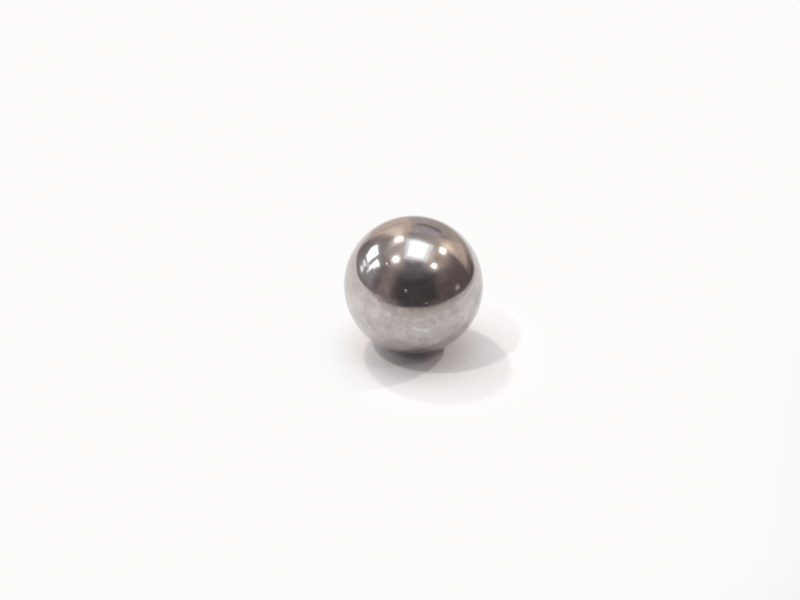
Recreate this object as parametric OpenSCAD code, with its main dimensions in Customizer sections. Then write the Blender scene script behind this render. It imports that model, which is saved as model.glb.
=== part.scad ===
// Polished steel ball
// A solid round ball, forged as a blank, then ground and lapped to a mirror finish.
// It is one piece: no seam, flat, hole or mark anywhere on it.
// Sizes are in millimetres, +Z is up, and the origin is the centre of the ball.

/* [Ball] */
// Diameter of the ball
ball_d = 20; // [1:0.5:100]

/* [Hidden] */

// Sides of the circle that stands for the equator in a preview
$fn = 180;

// The whole ball, turned about its centre so that every section through it is a full circle
module ball() {
    color("silver")
        sphere(d = ball_d);
}

ball();
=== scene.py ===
import math

import bmesh
import bpy
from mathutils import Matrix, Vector


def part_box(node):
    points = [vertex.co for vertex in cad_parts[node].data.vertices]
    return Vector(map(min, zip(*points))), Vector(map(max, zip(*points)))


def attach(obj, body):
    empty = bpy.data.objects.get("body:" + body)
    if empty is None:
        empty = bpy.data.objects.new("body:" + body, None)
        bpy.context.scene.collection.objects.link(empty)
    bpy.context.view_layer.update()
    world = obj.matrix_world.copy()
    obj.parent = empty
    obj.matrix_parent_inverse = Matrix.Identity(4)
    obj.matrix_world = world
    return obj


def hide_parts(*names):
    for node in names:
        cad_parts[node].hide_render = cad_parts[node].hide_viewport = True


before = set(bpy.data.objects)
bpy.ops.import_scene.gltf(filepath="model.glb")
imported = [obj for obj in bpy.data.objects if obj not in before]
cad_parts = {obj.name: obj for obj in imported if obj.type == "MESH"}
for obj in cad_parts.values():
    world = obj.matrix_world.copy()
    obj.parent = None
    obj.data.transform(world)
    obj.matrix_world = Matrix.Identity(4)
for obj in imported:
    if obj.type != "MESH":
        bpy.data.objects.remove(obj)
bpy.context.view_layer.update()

scene = bpy.context.scene
scene.view_settings.view_transform = "Standard"

# Ball: one solid piece of hard steel, forged, ground and lapped until it mirrors what is around it.
# It lies loose and touches what is under it at its lowest point only. Handling has left a thin film
# with soft marks, hairlines too fine to feel and a few tiny nicks. Low down, the steel is painted darker
# on the front right and lighter on the back left, and most marks are painted too: painted shade and
# light that stand in for the mirrored sheet and the ball's own shadow; the darker marks along the
# mirrored edge of the sheet are partly film smudges.
MM = 0.001
ball_low, ball_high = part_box("ball")
ball_radius = min(*ball_high, *(-ball_low))
grid_rows = 96
nick_length, nick_width = 0.26 * MM, 0.17 * MM
finer_within = (5, 3.5, 2.5)  # nick lengths round a nick in which the mesh is cut finer, once more for each
nick_end = 6  # nick lengths from its middle at which a nick has run out
nicks = (
    # turn right of the front, height and slant in degrees, then the depth
    (-6.7, 24.3, 20, 0.078 * MM),
    (10.5, 13.7, 10, 0.014 * MM),
    (-28.7, 43.5, 130, 0.021 * MM),
)
marks = (
    # turn, height and slant as above; half length and half width in millimetres;
    # how much of the steel it covers, how much hazier it is, and its colour
    # Along and under the mirrored near edge of the sheet: darker marks, partly film smudges and partly
    # painted shade of the shaded sheet.
    ("smudge_and_shade_left", (-17, 9.5, -12), (2.8, 0.85), 0.75, 0.11, (0.36, 0.308, 0.3, 1)),
    ("smudge_and_shade_right", (15, 8.0, 5), (4.6, 0.75), 0.8, 0.09, (0.37, 0.315, 0.285, 1)),
    ("smudge_and_shade_middle", (-3, 6.3, 0), (0.9, 0.6), 0.5, 0.0, (0.36, 0.312, 0.295, 1)),
    ("smudge_and_shade_end", (34, 8.0, -60), (1.4, 0.9), 0.7, 0.0, (0.37, 0.315, 0.3, 1)),
    ("film_and_shade_mauve_left", (-14, -4, 10), (1.7, 1.2), 0.4, 0.0, (0.4, 0.34, 0.332, 1)),
    ("film_and_shade_mauve_right", (25, -2, -70), (1.3, 0.9), 0.4, 0.0, (0.4, 0.338, 0.33, 1)),
    # Painted shadow: a darker patch low at the front, the ball's own contact shadow mirrored.
    ("painted_shadow_base", (-4, -24, 0), (1.3, 0.5), 0.4, 0.0, (0.34, 0.315, 0.312, 1)),
    # Painted light: a paler patch low on the left, the brighter sheet mirrored.
    ("painted_light_left", (-32, -2, -35), (2.2, 1.1), 0.35, 0.0, (0.64, 0.588, 0.57, 1)),
    # Low on the right: a grey patch, partly a grey smear and partly painted reflection of the ball's
    # shadow, then a dark patch at its end, painted shadow.
    ("smear_and_shadow_grey", (26, -15.5, -6), (3.9, 1.1), 0.6, 0.0, (0.43, 0.43, 0.44, 1)),
    ("painted_shadow_end", (39, -11, 20), (0.9, 0.55), 0.6, 0.0, (0.34, 0.328, 0.34, 1)),
    # Painted shadow: a darker patch low at the front, the ball's own contact shadow mirrored.
    ("painted_shadow_foot", (9.5, -18.5, 0), (0.9, 0.5), 0.5, 0.0, (0.35, 0.325, 0.32, 1)),
    # Painted light: a pale streak low at the front and a pale patch on the right, light of the sheet
    # mirrored.
    ("painted_light_streak", (7, -8.8, -14), (1.3, 0.3), 0.45, 0.0, (0.66, 0.64, 0.625, 1)),
    ("painted_light_right", (49, 0.5, 60), (1.7, 1.2), 0.6, 0.0, (0.66, 0.6, 0.58, 1)),
)


def wrap_ball(rows):
    """A cube cut into even squares and blown out onto the ball, so that no pole gathers the faces."""
    skin = bmesh.new()
    bmesh.ops.create_cube(skin, size=2.0)
    bmesh.ops.subdivide_edges(skin, edges=skin.edges[:], cuts=rows - 1, use_grid_fill=True)
    for point in skin.verts:
        even = Vector([math.tan(side * math.pi / 4) for side in point.co])
        point.co = even.normalized() * ball_radius
    return skin


def ball_axes(turn, height, slant):
    """Straight out of the ball at a place on it, and along and across a line that slants there."""
    turn, height, slant = (math.radians(angle) for angle in (turn, height, slant))
    level = Vector((math.cos(turn), math.sin(turn), 0))
    out = Vector((math.sin(turn) * math.cos(height), -math.cos(turn) * math.cos(height), math.sin(height)))
    along = level * math.cos(slant) + out.cross(level) * math.sin(slant)
    return out, along, out.cross(along)


def press_nick(skin, turn, height, slant, depth):
    """Presses a shallow nick into the ball, turn degrees right of its front and height degrees up."""
    out, along, across = ball_axes(turn, height, slant)
    middle = out * ball_radius
    for lengths in finer_within:
        reach = lengths * nick_length
        near = [face for face in skin.faces if (face.calc_center_median() - middle).length < reach]
        edges = list({edge for face in near for edge in face.edges})
        bmesh.ops.subdivide_edges(skin, edges=edges, cuts=1, use_grid_fill=True)
    for point in skin.verts:
        if (point.co - middle).length < nick_end * nick_length:
            away = point.co.normalized() * ball_radius - middle
            spread = (away.dot(along) / nick_length) ** 2 + (away.dot(across) / nick_width) ** 2
            point.co = point.co.normalized() * (ball_radius - depth * math.exp(-spread))


def finish_mesh(skin, name):
    """Turns the skin into a smooth object of the scene."""
    mesh = bpy.data.meshes.new(name)
    bmesh.ops.recalc_face_normals(skin, faces=skin.faces[:])
    skin.to_mesh(mesh)
    skin.free()
    mesh.shade_smooth()
    piece = bpy.data.objects.new(name, mesh)
    scene.collection.objects.link(piece)
    return piece


def place(tree, kind, inputs=None, **options):
    """Adds one node, sets its options, and fills or joins the inputs that are named."""
    node = tree.nodes.new(kind)
    for option, value in options.items():
        setattr(node, option, value)
    for socket, value in (inputs or {}).items():
        if isinstance(value, bpy.types.NodeSocket):
            tree.links.new(value, node.inputs[socket])
        else:
            node.inputs[socket].default_value = value
    return node


def reckon(tree, operation, *values):
    """The result of one sum, as a socket."""
    return place(tree, "ShaderNodeMath", dict(enumerate(values)), operation=operation).outputs[0]


def ease(tree, value, start, end, low=0.0, high=1.0):
    """The value moved from start and end to low and high along a soft S."""
    sockets = {"Value": value, "From Min": start, "From Max": end, "To Min": low, "To Max": high}
    return place(tree, "ShaderNodeMapRange", sockets, interpolation_type="SMOOTHSTEP").outputs["Result"]


def blend_colours(tree, share, first, second, how="MIX"):
    """The first colour where share is 0 and the second, or the two together, where it is 1."""
    sockets = {0: share, 6: first, 7: second}
    return place(tree, "ShaderNodeMix", sockets, data_type="RGBA", blend_type=how).outputs[2]


def clouds(tree, where, size, detail):
    """Soft noise with blotches of about that size."""
    breakup = 0.55
    sockets = {"Vector": where, "Scale": 1 / size, "Detail": detail, "Roughness": breakup}
    return place(tree, "ShaderNodeTexNoise", sockets).outputs["Fac"]


def new_material(name):
    """An empty material, its node tree and its output node."""
    material = bpy.data.materials.new(name)
    material.use_nodes = True
    material.node_tree.nodes.clear()
    return material, material.node_tree, place(material.node_tree, "ShaderNodeOutputMaterial")


def mark_share(tree, spot, wobble, where, reach):
    """How much of one soft, uneven mark lies on each point of the ball."""
    outer, inner, own_side = 1.3, 0.2, 4.0
    out, along, across = (
        place(tree, "ShaderNodeVectorMath", {0: spot, 1: axis}, operation="DOT_PRODUCT").outputs["Value"]
        for axis in ball_axes(*where)
    )
    length, width = reach
    share = ease(tree, out, 0.0, own_side)
    for off, size in ((along, length), (across, width)):
        off = reckon(tree, "MULTIPLY_ADD", wobble, size, reckon(tree, "ABSOLUTE", off))
        share = reckon(tree, "MULTIPLY", share, ease(tree, off, outer * size, inner * size))
    return share


def polished_steel():
    """Mirror steel with a handled film, painted shade and light, marks, fine specks and crossing hairlines;
    sizes in millimetres.
    """
    clean_steel = (0.70, 0.653, 0.63, 1)
    warm_film = (0.388, 0.338, 0.325, 1)
    cool_film = (0.366, 0.34, 0.335, 1)
    edge_tint = (0.9, 0.9, 0.9, 1)
    film_size, film_span, film_share = 4.5, (0.36, 0.64), 0.28
    blotch_size, blotch_span, blotch_share = 1.8, (0.32, 0.68), 0.46
    speck_size, speck_span, speck_share = 0.5, (0.28, 0.72), 0.26
    tint_size, tint_span = 3.2, (0.4, 0.6)
    wave_size, wobble_size = 2.6, 1.2
    hairline_run, hairline_gap, hairline_width = 9.0, 0.16, 0.012
    hairline_tilts = ((0.3, 0.5, 0.0), (1.4, 0.2, 0.9), (0.6, 1.1, 2.2))
    mean_noise, mean_tarnish = 0.5, 0.5
    even_height, even_contrast = 6.0, 0.28
    patchy_height, patchy_contrast = -1.0, 0.7
    towards_front = -0.6
    # Painted side shade: lighter towards the back left, darker towards the front right, painted from this
    # height down.
    lightest_side, painted_lightening = -9.0, -0.24
    darkest_side, painted_darkening = 5.0, 0.27
    shade_top, shade_full = 2.6, 0.2
    least_haze, most_haze, hairline_haze = 0.085, 0.125, 0.05
    wave_depth, hairline_depth = 0.0016 * MM, -0.12
    coat, coat_haze, coat_bend = 0.4, 0.24, 1.45
    material, tree, output = new_material("polished_steel")
    spot = place(tree, "ShaderNodeTexCoord").outputs["Object"]
    spot = place(tree, "ShaderNodeVectorMath", {0: spot, "Scale": 1 / MM}, operation="SCALE").outputs[0]

    film = ease(tree, clouds(tree, spot, film_size, 3.0), *film_span)
    blotches = ease(tree, clouds(tree, spot, blotch_size, 3.0), *blotch_span)
    specks = ease(tree, clouds(tree, spot, speck_size, 2.0), *speck_span)
    hairlines = None
    stretch = (1 / hairline_run, 1 / hairline_gap, 1 / hairline_gap)
    for tilt in hairline_tilts:
        streak = place(tree, "ShaderNodeMapping", {"Vector": spot, "Rotation": tilt, "Scale": stretch})
        off = reckon(tree, "SUBTRACT", clouds(tree, streak.outputs[0], 1.0, 0.0), mean_noise)
        line = ease(tree, reckon(tree, "ABSOLUTE", off), 0.0, hairline_width, 1.0, 0.0)
        hairlines = line if hairlines is None else reckon(tree, "MAXIMUM", hairlines, line)
    hairlines = reckon(tree, "MULTIPLY", hairlines, film)

    tarnish = reckon(tree, "MULTIPLY", specks, speck_share)
    tarnish = reckon(tree, "MULTIPLY_ADD", blotches, blotch_share, tarnish)
    tarnish = reckon(tree, "MULTIPLY_ADD", film, film_share, tarnish)
    along = place(tree, "ShaderNodeSeparateXYZ", {0: spot}).outputs
    contrast = ease(tree, along["Z"], even_height, patchy_height, even_contrast, patchy_contrast)
    off = reckon(tree, "SUBTRACT", tarnish, mean_tarnish)
    tarnish = reckon(tree, "MULTIPLY_ADD", off, contrast, mean_tarnish)
    # Painted light and shade: low down the steel is darker on the front right and lighter on the back left,
    # the mirrored sheet's shade and light painted into the film.
    front_right = reckon(tree, "MULTIPLY_ADD", along["Y"], towards_front, along["X"])
    painted_side_shade = ease(tree, front_right, lightest_side, darkest_side, painted_lightening, painted_darkening)
    low_down = ease(tree, along["Z"], shade_top, shade_full)
    tarnish = reckon(tree, "ADD", tarnish, reckon(tree, "MULTIPLY", painted_side_shade, low_down))
    tint = ease(tree, clouds(tree, spot, tint_size, 2.0), *tint_span)
    colour = blend_colours(tree, tarnish, clean_steel, blend_colours(tree, tint, warm_film, cool_film))
    haze = ease(tree, tarnish, 0.0, 1.0, least_haze, most_haze)
    haze = reckon(tree, "MULTIPLY_ADD", hairlines, hairline_haze, haze)
    wobble = reckon(tree, "MULTIPLY_ADD", clouds(tree, spot, wobble_size, 3.0), 2.0, -1.0)
    # The marks of the table go on one by one; most of them are painted light and shade.
    for name, where, reach, cover, rougher, mark_colour in marks:
        share = reckon(tree, "MULTIPLY", mark_share(tree, spot, wobble, where, reach), cover)
        colour = blend_colours(tree, share, colour, mark_colour)
        colour.node.label = name
        haze = reckon(tree, "MULTIPLY_ADD", share, rougher, haze)
    waves = reckon(tree, "MULTIPLY_ADD", hairlines, hairline_depth, clouds(tree, spot, wave_size, 1.0))
    bump = place(tree, "ShaderNodeBump", {"Height": waves, "Strength": 1.0, "Distance": wave_depth})
    steel = place(tree, "ShaderNodeBsdfPrincipled", {
        "Base Color": colour, "Roughness": haze, "Metallic": 1.0, "Specular Tint": edge_tint,
        "Coat Weight": coat, "Coat Roughness": coat_haze, "Coat IOR": coat_bend,
        "Normal": bump.outputs[0]})
    tree.links.new(steel.outputs[0], output.inputs["Surface"])
    return material


ball_skin = wrap_ball(grid_rows)
for nick in nicks:
    press_nick(ball_skin, *nick)
steel_ball = finish_mesh(ball_skin, "steel_ball")
steel_ball.data.materials.append(polished_steel())
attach(steel_ball, "root")
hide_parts("ball")

# Sheet: plain white paper laid flat under the ball, wide enough to be all that the camera sees behind it.
# Its near and right edges are close enough for the ball to mirror them. Away from the ball and its shadows
# it is a plain white ground, to the camera and in the ball. Outside the picture it is shaded.
sheet_near, sheet_far = -9.7 * ball_radius, 26 * ball_radius
sheet_left, sheet_right = -45 * ball_radius, 15 * ball_radius
field_centre = (0.35 * ball_radius, -0.15 * ball_radius, -ball_radius)
field_inner, field_outer = 0.7 * ball_radius, 2.0 * ball_radius


def lay_sheet():
    """One flat four-cornered face."""
    face = bmesh.new()
    for x, y in (
        (sheet_left, sheet_near),
        (sheet_right, sheet_near),
        (sheet_right, sheet_far),
        (sheet_left, sheet_far),
    ):
        face.verts.new((x, y, -ball_radius))
    face.faces.new(face.verts[:])
    return finish_mesh(face, "sheet")


def white_paper():
    """Matt paper, a plain white ground away from the ball and shaded outside the picture."""
    bright_paper = (0.897, 0.894, 0.908, 1)
    shaded_paper = (0.16, 0.15, 0.146, 1)
    ground_white = (0.975, 0.968, 0.964, 1)
    front_start, front_end = -3.6 * ball_radius, -8.6 * ball_radius
    front_slant, front_light = 0.08, 0.22
    right_start, right_end = 4 * ball_radius, 9 * ball_radius
    right_slant, right_light = -0.4, 0.35
    material, tree, output = new_material("white_paper")
    where = place(tree, "ShaderNodeTexCoord").outputs["Object"]
    across = place(tree, "ShaderNodeSeparateXYZ", {0: where})
    aside = reckon(tree, "ABSOLUTE", across.outputs["X"])
    front = reckon(tree, "MULTIPLY_ADD", aside, front_slant, across.outputs["Y"])
    right = reckon(tree, "MULTIPLY_ADD", across.outputs["Y"], right_slant, across.outputs["X"])
    lit = ease(tree, front, front_start, front_end, 1.0, front_light)
    lit = reckon(tree, "MULTIPLY", lit, ease(tree, right, right_start, right_end, 1.0, right_light))
    colour = blend_colours(tree, lit, shaded_paper, bright_paper)
    paper = place(tree, "ShaderNodeBsdfDiffuse", {"Color": colour})
    ground = place(tree, "ShaderNodeEmission", {"Color": ground_white, "Strength": 1.0})
    rays = place(tree, "ShaderNodeLightPath").outputs
    mirrored = reckon(tree, "MAXIMUM", rays["Is Glossy Ray"], rays["Is Transmission Ray"])
    shown = reckon(tree, "MAXIMUM", rays["Is Camera Ray"], mirrored)
    away = place(tree, "ShaderNodeVectorMath", {0: where, 1: field_centre}, operation="DISTANCE")
    share = ease(tree, away.outputs["Value"], field_inner, field_outer)
    share = reckon(tree, "MULTIPLY", reckon(tree, "MULTIPLY", share, lit), shown)
    surface = place(tree, "ShaderNodeMixShader", {0: share, 1: paper.outputs[0], 2: ground.outputs[0]})
    tree.links.new(surface.outputs[0], output.inputs["Surface"])
    return material


sheet = lay_sheet()
sheet.data.materials.append(white_paper())

# Lamps: four small warm lamps and one square soft panel hang over the ball, and a paned soft light
# stands at its left. Each is as far round and as high as its mirror image on the ball asks for.
rig_height, frame_lift = 1.5, 0.02
small_lamp_colour = (1.0, 0.94, 0.87)
panel_turn = -11
pane_colour = (0.94, 0.98, 1.0)
panes_across = -1.5


def hang_lamp(name, where, shape, size, watts, colour, facing):
    """A flat lamp, round or square, that the camera itself doesn't see."""
    light = bpy.data.lights.new(name, "AREA")
    light.shape = shape
    light.size, light.size_y = size
    light.energy = watts
    light.color = colour
    lamp = bpy.data.objects.new(name, light)
    lamp.location = where
    lamp.rotation_euler = facing
    lamp.visible_camera = False
    scene.collection.objects.link(lamp)


def watts_for_glow(glow, size):
    """Watts at which a flat lamp of that size shines glow times as bright as plain white."""
    return glow * math.pi * size[0] * size[1]


def watts_for_share(share, where):
    """Watts at which a small lamp gives the sheet that share of the light that makes white paper white."""
    return share * math.pi ** 2 * where.length_squared * where.length / where.z


for name, x, y, share, size in (
    # place as parts of the height, share of the light on the sheet, and width
    ("lamp_far_left", -0.35, 0.44, 0.2, 0.12),
    ("lamp_near_left", -0.514, -0.266, 0.185, 0.09),
    ("lamp_far_right", 0.835, 0.235, 0.16, 0.09),
    ("lamp_near_right", 0.685, -0.474, 0.05, 0.105),
):
    where = Vector((x, y, 1)) * rig_height
    facing = (-where).to_track_quat("-Z", "Y").to_euler()
    watts = watts_for_share(share, where)
    hang_lamp(name, where, "DISK", (size, size), watts, small_lamp_colour, facing)

for name, where, size, glow, colour in (
    # place, width and length, and how bright and which colour it shines
    ("panel", (0.155, -0.02, rig_height), (0.67, 0.77), 1.1, (0.91, 0.955, 1.0)),
    ("panel_frame", (0.175, -0.05, rig_height + frame_lift), (1.0, 1.04), 0.65, (0.66, 0.88, 1.0)),
):
    facing = (0, 0, math.radians(panel_turn))
    watts = watts_for_glow(glow, size)
    hang_lamp(name, where, "RECTANGLE", size, watts, colour, facing)

pane_facing = Vector((1, 0, 0)).to_track_quat("-Z", "Y").to_euler()
for name, y, z, size, glow in (
    # place away from the camera and up, width and height, and how bright it shines
    ("pane_far", 0.73, 1.13, (0.76, 0.36), 2.05),
    ("pane_far_middle", 0.72, 0.9, (0.74, 0.11), 2.05),
    ("pane_far_low", 0.66, 0.79, (0.6, 0.11), 2.0),
    ("pane_far_lowest", 0.6, 0.68, (0.48, 0.12), 1.84),
    ("pane_near", -0.06, 1.06, (0.4, 0.2), 2.05),
    ("pane_near_middle", -0.005, 0.86, (0.29, 0.2), 2.05),
    ("pane_near_low", 0.06, 0.66, (0.16, 0.2), 1.89),
    ("pane_near_lowest", 0.065, 0.47, (0.13, 0.12), 0.86),
    ("pane_between", 0.26, 0.62, (0.16, 0.2), 0.43),
    ("pane_low", 0.5, 0.47, (0.34, 0.14), 1.13),
    ("pane_lowest", 0.45, 0.29, (0.26, 0.12), 1.3),
):
    watts = watts_for_glow(glow, size)
    hang_lamp(name, (panes_across, y, z), "RECTANGLE", size, watts, pane_colour, pane_facing)

# Surroundings: the quiet tones of a studio, dark behind the camera, with a paler ceiling and warm boards
# beyond the sheet. Seen from the camera, all of them are outside the picture.
open_tone = (0.25, 0.215, 0.215, 1)
room_light = 1.08
uneven_size, uneven_span = 0.2, (0.3, 0.7)
dimmest, brightest = 0.88, 1.12
tones = (
    # turn: middle, half width and softness; height: low edge, high edge and softness; all in degrees
    ("ceiling", (0, 200, 10), (48, 100, 11), (0.53, 0.485, 0.46, 1)),
    ("ceiling round the panel", (0, 200, 10), (69, 100, 7), (0.7, 0.67, 0.66, 1)),
    ("ceiling lit far left", (-52, 12, 8), (57, 65, 5), (1.0, 0.93, 0.86, 1)),
    ("ceiling behind the camera", (180, 33, 18), (40, 66, 5), (0.2, 0.19, 0.2, 1)),
    ("dark behind the camera", (174, 42, 15), (-20, 44, 12), (0.08, 0.074, 0.077, 1)),
    ("brown side left", (-126, 13, 7), (-2, 44, 8), (0.3, 0.25, 0.25, 1)),
    ("brown ground left front", (-147, 9, 11), (-14, 2, 4), (0.27, 0.227, 0.223, 1)),
    ("dark corner left", (-115, 5, 4), (4, 27, 6), (0.2, 0.165, 0.165, 1)),
    ("grey round the panes", (-76, 29, 5), (1, 45, 4), (0.36, 0.36, 0.375, 1)),
    ("dark side of the panes", (-51, 6, 4), (3, 25, 5), (0.27, 0.25, 0.265, 1)),
    ("dark skirting left", (-82, 38, 8), (-4, 5, 2), (0.23, 0.22, 0.22, 1)),
    ("plum post", (-42, 7, 4), (0, 40, 6), (0.37, 0.285, 0.29, 1)),
    ("plum post, dark foot", (-43, 6, 4), (4, 20, 5), (0.24, 0.2, 0.21, 1)),
    ("plum post, lit top", (-37, 5, 4), (33, 43, 5), (0.54, 0.44, 0.4, 1)),
    ("far wall", (14, 26, 8), (-8, 50, 5), (0.5, 0.46, 0.445, 1)),
    ("warm board left", (-18.5, 16, 4), (-6, 54, 6), (0.74, 0.625, 0.55, 1)),
    ("warm board left, lit top", (-23, 9, 6), (32, 52, 8), (1.12, 0.95, 0.8, 1)),
    ("far shelf", (16, 14, 3), (27, 35, 2.5), (0.24, 0.23, 0.235, 1)),
    ("far grey board", (16, 14, 2), (38, 53, 4), (0.53, 0.51, 0.56, 1)),
    ("far ceiling", (14, 22, 6), (54, 67, 4), (0.43, 0.41, 0.435, 1)),
    ("far wall right", (33, 11, 6), (-6, 24, 6), (0.5, 0.455, 0.4, 1)),
    ("warm board right", (57, 15, 4), (10, 50, 5), (0.67, 0.57, 0.49, 1)),
    ("warm board right, lit top", (59, 8, 5), (32, 48, 7), (1.06, 0.92, 0.73, 1)),
    ("dark right", (107, 34, 5), (-9, 34, 14), (0.15, 0.123, 0.122, 1)),
    ("warm ceiling right", (97, 22, 10), (40, 62, 12), (0.48, 0.405, 0.345, 1)),
    ("ceiling right of the panel", (95, 42, 12), (59, 72, 4), (0.74, 0.68, 0.63, 1)),
    ("ceiling lit near right", (125, 8, 6), (44, 54, 4), (0.85, 0.8, 0.74, 1)),
    ("mauve patch right", (117, 7, 5), (22, 33, 6), (0.22, 0.177, 0.175, 1)),
    ("small pale patch right", (103, 3.5, 3), (-0.5, 7, 2.5), (0.58, 0.58, 0.63, 1)),
    ("dark ground right", (105, 56, 5), (-90, 2, 2), (0.14, 0.12, 0.12, 1)),
    ("pale ground far", (-6, 52, 8), (-90, -1, 3), (0.6, 0.555, 0.535, 1)),
    ("pale ground far left", (-38, 18, 10), (-90, 0.3, 1.5), (0.95, 0.9, 0.89, 1)),
    ("pale ground left front", (-118, 16, 12), (-90, 0.3, 0.8), (0.55, 0.5, 0.485, 1)),
    ("pale sill left", (-76, 30, 12), (-90, 0.6, 0.5), (0.93, 0.89, 0.88, 1)),
    ("pale sill left, raised end", (-59, 10, 6), (-10, 1.7, 0.6), (0.97, 0.92, 0.91, 1)),
)


def lay_tone(tree, turn, height, under, sides, levels, tone):
    """Lays one soft-edged tone over a part of what is round the ball."""
    middle, half, turn_soft = (math.radians(angle) for angle in sides)
    low, high, height_soft = (math.radians(angle) for angle in levels)
    aside = reckon(tree, "WRAP", reckon(tree, "SUBTRACT", turn, middle), math.pi, -math.pi)
    share = ease(tree, reckon(tree, "ABSOLUTE", aside), half + turn_soft, half - turn_soft)
    above = ease(tree, height, low - height_soft, low + height_soft)
    below = ease(tree, height, high + height_soft, high - height_soft)
    share = reckon(tree, "MULTIPLY", share, reckon(tree, "MULTIPLY", above, below))
    return blend_colours(tree, share, under, tone)


def surroundings():
    """The world that the ball mirrors, a little uneven."""
    world = bpy.data.worlds.new("surroundings")
    world.use_nodes = True
    tree = world.node_tree
    tree.nodes.clear()
    where = place(tree, "ShaderNodeTexCoord").outputs["Generated"]
    way = place(tree, "ShaderNodeSeparateXYZ", {0: where})
    turn = reckon(tree, "ARCTAN2", way.outputs["X"], way.outputs["Y"])
    height = reckon(tree, "ARCSINE", way.outputs["Z"])
    colour = open_tone
    for label, sides, levels, tone in tones:
        colour = lay_tone(tree, turn, height, colour, sides, levels, tone)
        colour.node.label = label
    uneven = ease(tree, clouds(tree, where, uneven_size, 3.0), *uneven_span, dimmest, brightest)
    colour = blend_colours(tree, 1.0, colour, uneven, how="MULTIPLY")
    room = place(tree, "ShaderNodeBackground", {"Color": colour, "Strength": room_light})
    place(tree, "ShaderNodeOutputWorld", {"Surface": room.outputs[0]})
    return world


scene.world = surroundings()

# Camera: looks down on the ball from the front, at the photograph's angle and distance.
# Its aim is set so that the ball falls on the same pixels of an 800 by 600 picture.
image_width, image_height = 800, 600
ball_pixel_x, ball_pixel_y, ball_pixel_radius = 413.3, 285.0, 69.6
camera_rise = math.radians(29)
camera_distance = 14 * ball_radius
sensor_width = 36.0
nearest_seen = 0.005

pixels_to_ball = ball_pixel_radius * math.sqrt((camera_distance / ball_radius) ** 2 - 1)
metres_per_pixel = camera_distance / pixels_to_ball
eye = Vector((0, -math.cos(camera_rise), math.sin(camera_rise))) * camera_distance
camera_up = Vector((0, math.sin(camera_rise), math.cos(camera_rise)))
aim = Vector(((image_width / 2 - ball_pixel_x) * metres_per_pixel, 0, 0))
aim -= camera_up * (image_height / 2 - ball_pixel_y) * metres_per_pixel
lens = bpy.data.cameras.new("camera")
lens.sensor_width = sensor_width
lens.lens = pixels_to_ball / image_width * sensor_width
lens.clip_start = nearest_seen
camera = bpy.data.objects.new("camera", lens)
camera.location = eye
camera.rotation_euler = (aim - eye).to_track_quat("-Z", "Y").to_euler()
scene.collection.objects.link(camera)
scene.camera = camera
